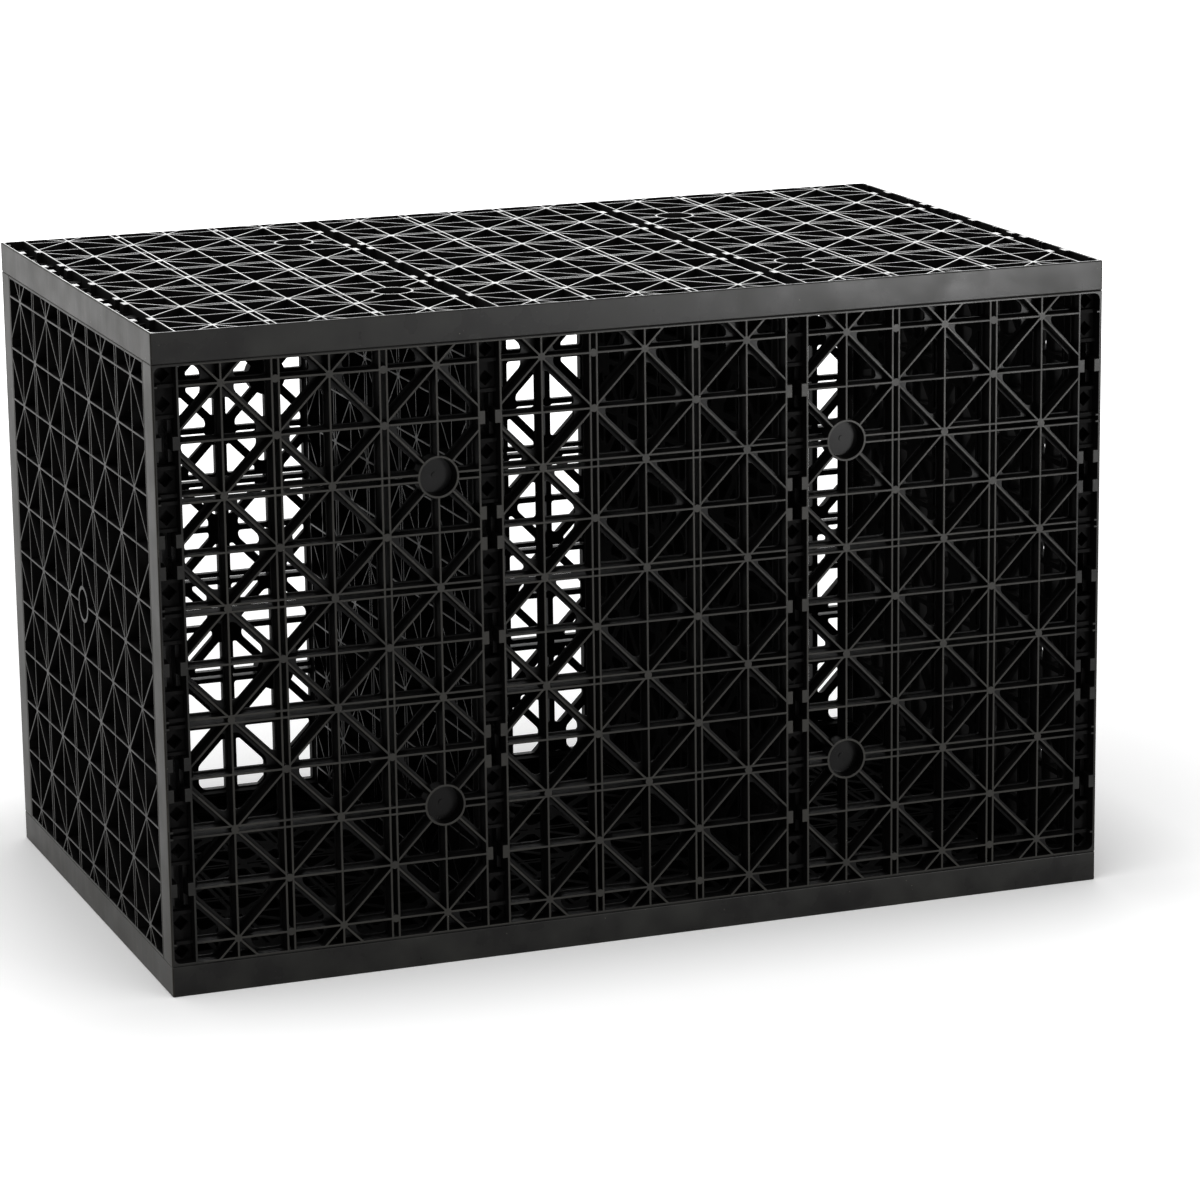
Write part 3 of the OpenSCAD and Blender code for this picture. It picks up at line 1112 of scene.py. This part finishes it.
def noise(tree, place, across, along=None, detail=2.0):
    """Noise whose grains are so many millimetres across, and as long along z as asked."""
    scale = (1 / (across * MM), 1 / (across * MM), 1 / ((along or across) * MM))
    mapping = add_node(tree, "ShaderNodeMapping", {"Vector": place, "Scale": scale})
    inputs = {"Vector": mapping.outputs[0], "Scale": 1.0, "Detail": detail}
    return add_node(tree, "ShaderNodeTexNoise", inputs).outputs["Fac"]


def grained(tree, place, across, strength):
    """Normals of a moulded surface with grains so many millimetres across."""
    inputs = {"Strength": strength, "Distance": GRAIN_DEPTH, "Height": noise(tree, place, across)}
    return add_node(tree, "ShaderNodeBump", inputs).outputs["Normal"]


def black_plastic(tree, finish, mottle):
    """The plastic's colour, which turns to a blacker one in patches."""
    return layered(tree, linear(finish.shade), (mottle, linear(finish.plastic)))


def satin_roughness(tree, finish, mottle):
    """The roughness of smooth plastic, a little more in patches."""
    rough = finish.rough_outside
    patches = (mottle, *MIDDLE, rough - 0.04, rough + 0.06)
    return add_node(tree, "ShaderNodeMapRange", patches).outputs[0]


def finish_plastic(tree, gloss, colour, roughness, grain=None):
    """Ends a plastic's nodes with its shader. Gloss is the level of its mirrored light."""
    inputs = {
        "IOR": PLASTIC_IOR,
        "Specular IOR Level": gloss,
        "Base Color": colour,
        "Roughness": roughness,
    }
    if grain:
        inputs["Normal"] = grain
    surface = add_node(tree, "ShaderNodeBsdfPrincipled", inputs)
    add_node(tree, "ShaderNodeOutputMaterial", {"Surface": surface.outputs["BSDF"]})


def moulded_material(finish):
    """Polypropylene as the mould leaves it: black, finely grained, and matt with dust inside."""
    material, tree, place = empty_tree("moulded_polypropylene")
    mottle = noise(tree, place, MOTTLE)
    rough = finish.rough_inside
    patches = (mottle, *MIDDLE, rough - 0.05, rough)
    depth = greatest(tree, depth_below_box(tree, place))
    dusty = (depth, -10 * MM, -11.3 * MM, 0, 0.4)
    parts = [add_node(tree, "ShaderNodeMapRange", values).outputs[0] for values in (patches, dusty)]
    finish_plastic(
        tree,
        gloss=0.06,
        colour=black_plastic(tree, finish, mottle),
        roughness=add_node(tree, "ShaderNodeMath", parts).outputs[0],
        grain=grained(tree, place, across=0.9, strength=0.3),
    )
    return material


def satin_material(finish):
    """Polypropylene of the webs and cups, smooth from the mould: black with a sheen."""
    material, tree, place = empty_tree("satin_polypropylene")
    mottle = noise(tree, place, MOTTLE)
    finish_plastic(
        tree,
        gloss=0.1,
        colour=black_plastic(tree, finish, mottle),
        roughness=satin_roughness(tree, finish, mottle),
    )
    return material


def rubbed_and_highlit_material(finish):
    """Polypropylene that is handled and stacked: satin crests, and rims with streaks of dust.

    Its crest colour is lighter, partly from wear and partly as a painted highlight.
    """
    material, tree, place = empty_tree("rubbed_highlit_polypropylene")
    outer, rim, end = outer_and_rim(tree, place)
    mottle = noise(tree, place, MOTTLE, detail=6.0)
    streaky = noise(tree, place, across=4, along=60)
    speckled = noise(tree, place, across=1.5, detail=1.0)
    patches, faint_patches, streaks, specks, dull_end = (
        add_node(tree, "ShaderNodeMapRange", values).outputs[0]
        for values in (
            (mottle, *MIDDLE, 0, 1),
            (mottle, *MIDDLE, 0, 0.5),
            (streaky, 0.4, 0.8, 0.25, 0.6),
            (speckled, 0.78, 0.82, 0, 0.7),
            (end, 0, 1, 0, 0.12),
        )
    )
    on_ends = add_node(tree, "ShaderNodeMath", (streaks, end), operation="MULTIPLY").outputs[0]
    rim_colour = layered(
        tree,
        linear(finish.rim),
        (patches, linear(finish.scuff)),
        (on_ends, linear(finish.dust)),
        (specks, linear(finish.specks)),
    )
    # The outer faces: a lighter crest colour, partly wear and partly a painted highlight, under the
    # rims' own colour
    outside = layered(
        tree, linear(finish.crest), (faint_patches, linear(finish.rim)), (rim, rim_colour)
    )
    roughness = (satin_roughness(tree, finish, mottle), dull_end)
    finish_plastic(
        tree,
        gloss=0.14,
        colour=layered(tree, linear(finish.plastic), (outer, outside)),
        roughness=add_node(tree, "ShaderNodeMath", roughness).outputs[0],
        grain=grained(tree, place, across=1.2, strength=0.25),
    )
    return material


def seen_directly(tree):
    """1 for what the camera sees, also in gloss and through glass, and 0 for other light."""
    path = add_node(tree, "ShaderNodeLightPath").outputs
    rays = ("Is Camera Ray", "Is Glossy Ray", "Is Transmission Ray")
    return greatest(tree, [path[name] for name in rays])


def beside_crate(tree, place):
    """How far a point of the floor lies outside the footprint of the crate."""
    half = (CRATE_SIZE.x / 2, CRATE_SIZE.y / 2, 0)
    steps = ("ABSOLUTE", ORIGIN), ("SUBTRACT", half), ("MAXIMUM", ORIGIN)
    outside = (shifted(tree, place, *steps),)
    return add_node(tree, "ShaderNodeVectorMath", outside, operation="LENGTH").outputs["Value"]


def floor_material(finish):
    """Matt studio paper: white where it is seen, greyer for the light it sends back.

    Where it is seen it also shines, less by the crate and not under it at all: a painted shade
    there.
    """
    material, tree, place = empty_tree("matt_studio_paper")
    seen = seen_directly(tree)
    colour = layered(tree, linear(finish.floor), (seen, WHITE))
    inputs = {"Roughness": 0.9, "Specular IOR Level": 0.0, "Base Color": colour}
    paper = add_node(tree, "ShaderNodeBsdfPrincipled", inputs)
    # Painted shade: the glow is none under the crate and only rises beside it
    away = beside_crate(tree, place)
    near, far = (
        add_node(tree, "ShaderNodeMapRange", (away, *reach, 0, glow)).outputs[0]
        for reach, glow in ((NEAR_PAINTED_SHADE, finish.near_glow), (FAR_FLOOR, finish.far_glow))
    )
    glow_with_painted_shade = add_node(tree, "ShaderNodeMath", (near, far)).outputs[0]
    shown = add_node(tree, "ShaderNodeMath", (glow_with_painted_shade, seen), operation="MULTIPLY").outputs[0]
    shine = add_node(tree, "ShaderNodeEmission", {"Strength": shown})
    surface = add_node(tree, "ShaderNodeAddShader", (paper.outputs[0], shine.outputs[0]))
    add_node(tree, "ShaderNodeOutputMaterial", {"Surface": surface.outputs[0]})
    return material


# The stage


def build_floor(finish):
    bpy.ops.mesh.primitive_plane_add(size=60.0, location=ORIGIN)
    floor = bpy.context.active_object
    floor.name = "studio_floor"
    floor.data.materials.append(floor_material(finish))


def build_world():
    """White for the camera and for gloss, and a plain grey level of light for the rest."""
    world = bpy.data.worlds.new("studio")
    bpy.context.scene.world = world
    world.use_nodes = True
    tree = world.node_tree
    tree.nodes.clear()
    plain, white = (
        add_node(tree, "ShaderNodeBackground", {"Color": WHITE, "Strength": level}).outputs[0]
        for level in (LIGHT_LEVEL, 1.0)
    )
    mixed = add_node(tree, "ShaderNodeMixShader", (seen_directly(tree), plain, white))
    add_node(tree, "ShaderNodeOutputWorld", {"Surface": mixed.outputs[0]})


def add_softbox(name, place, aim, size, power):
    """An area lamp of a width and height, which the camera itself doesn't see."""
    bpy.ops.object.light_add(type="AREA", location=place)
    lamp = bpy.context.active_object
    lamp.name = name
    lamp.visible_camera = False
    lamp.data.shape, lamp.data.energy = "RECTANGLE", power
    lamp.data.size, lamp.data.size_y = size
    lamp.rotation_euler = (Vector(aim) - Vector(place)).to_track_quat("-Z", "Y").to_euler()


def build_camera():
    """A long lens at the photograph's viewing angle."""
    data = bpy.data.cameras.new("photo_camera")
    camera = bpy.data.objects.new("photo_camera", data)
    bpy.context.scene.collection.objects.link(camera)
    data.sensor_width, data.lens = 36.0, CAMERA_LENS
    data.clip_start, data.clip_end = 0.1, 200.0
    camera.matrix_world = placed(
        CAMERA_PLACE,
        (radians(CAMERA_TURN), "Z"),
        (radians(90 - CAMERA_DOWN), "X"),
        (radians(CAMERA_ROLL), "Z"),
    )
    bpy.context.scene.camera = camera


class CRATE_OT_large_plates(bpy.types.Operator):
    """Model the large lattice plate and set it on the top, bottom, front and back"""

    bl_idname = "crate.large_plates"
    bl_label = "Large plates"

    def execute(self, context):
        build_large_plates(context.scene)
        return {"FINISHED"}


class CRATE_OT_cross_plates(bpy.types.Operator):
    """Model the cross plate and set it at both ends and at the two places between"""

    bl_idname = "crate.cross_plates"
    bl_label = "Cross plates"

    def execute(self, context):
        build_cross_plates(context.scene)
        return {"FINISHED"}


class CRATE_OT_stage(bpy.types.Operator):
    """Set up the pale floor, the soft light and the camera"""

    bl_idname = "crate.stage"
    bl_label = "Stage"

    def execute(self, context):
        scene = context.scene
        build_floor(scene.crate_finish)
        build_world()
        for softbox in SOFTBOXES:
            add_softbox(*softbox)
        build_camera()
        scene.view_settings.view_transform = "Standard"
        return {"FINISHED"}


class CRATE_PT_sidebar(bpy.types.Panel):
    """Lists the pieces of the crate"""

    bl_idname = "CRATE_PT_sidebar"
    bl_label = "Soakaway crate"
    bl_space_type = "VIEW_3D"
    bl_region_type = "UI"
    bl_category = "Crate"

    def draw(self, context):
        for operator in OPERATORS:
            self.layout.operator(operator.bl_idname)
        scene = context.scene
        for group in (scene.crate_lattice, scene.crate_sockets, scene.crate_finish):
            box = self.layout.box()
            for name in group.bl_rna.properties.keys():
                if name not in ("rna_type", "name"):
                    box.prop(group, name)


OPERATORS = (CRATE_OT_large_plates, CRATE_OT_cross_plates, CRATE_OT_stage)
CLASSES = (CrateLattice, CrateSockets, CrateFinish, *OPERATORS, CRATE_PT_sidebar)


def register():
    for item in CLASSES:
        bpy.utils.register_class(item)
    bpy.types.Scene.crate_lattice = PointerProperty(type=CrateLattice)
    bpy.types.Scene.crate_sockets = PointerProperty(type=CrateSockets)
    bpy.types.Scene.crate_finish = PointerProperty(type=CrateFinish)


def unregister():
    del bpy.types.Scene.crate_finish
    del bpy.types.Scene.crate_sockets
    del bpy.types.Scene.crate_lattice
    for item in reversed(CLASSES):
        bpy.utils.unregister_class(item)


def main():
    register()
    bpy.ops.crate.large_plates()
    bpy.ops.crate.cross_plates()
    bpy.ops.crate.stage()


if __name__ == "__main__":
    main()
